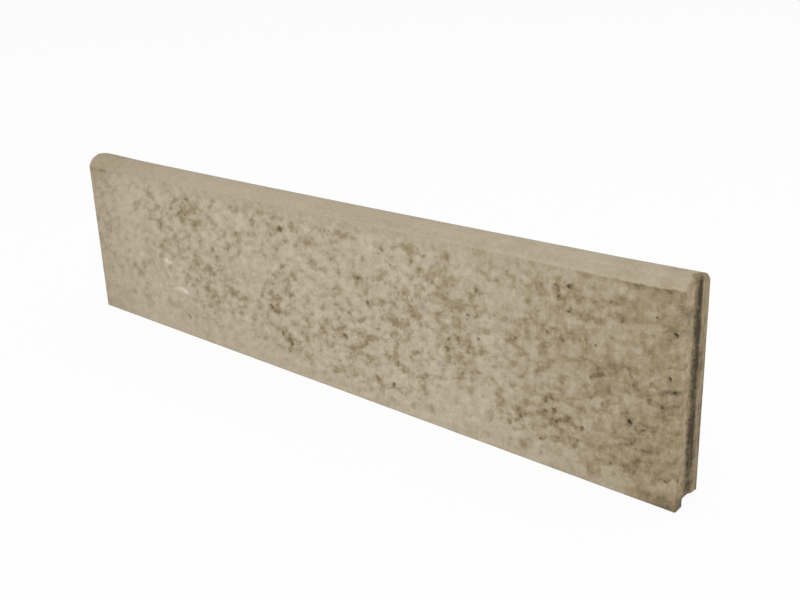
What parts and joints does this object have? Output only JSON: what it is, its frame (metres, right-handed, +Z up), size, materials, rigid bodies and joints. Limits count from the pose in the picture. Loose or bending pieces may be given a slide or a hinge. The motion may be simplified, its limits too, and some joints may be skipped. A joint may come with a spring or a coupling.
{
  "type": "concrete kerb stone",
  "caption": "Straight pressed-concrete garden kerb with a rounded crown, flat bed, an upright groove in one end and a matching tongue on the other.",
  "frame": {"origin": "middle of the bed the stone stands on, halfway between its two end faces, the tongue not counted", "axes": "+X along the stone towards its grooved end, +Y from the front face to the back face, +Z up to the crown"},
  "size_m": [1.005, 0.05, 0.25],
  "materials": {
    "concrete": "sand-coloured pressed concrete, matt, pitted faces and a smoother crown"
  },
  "bodies": {
    "root": {"kerb_stone": "concrete"}
  },
  "joints": []
}
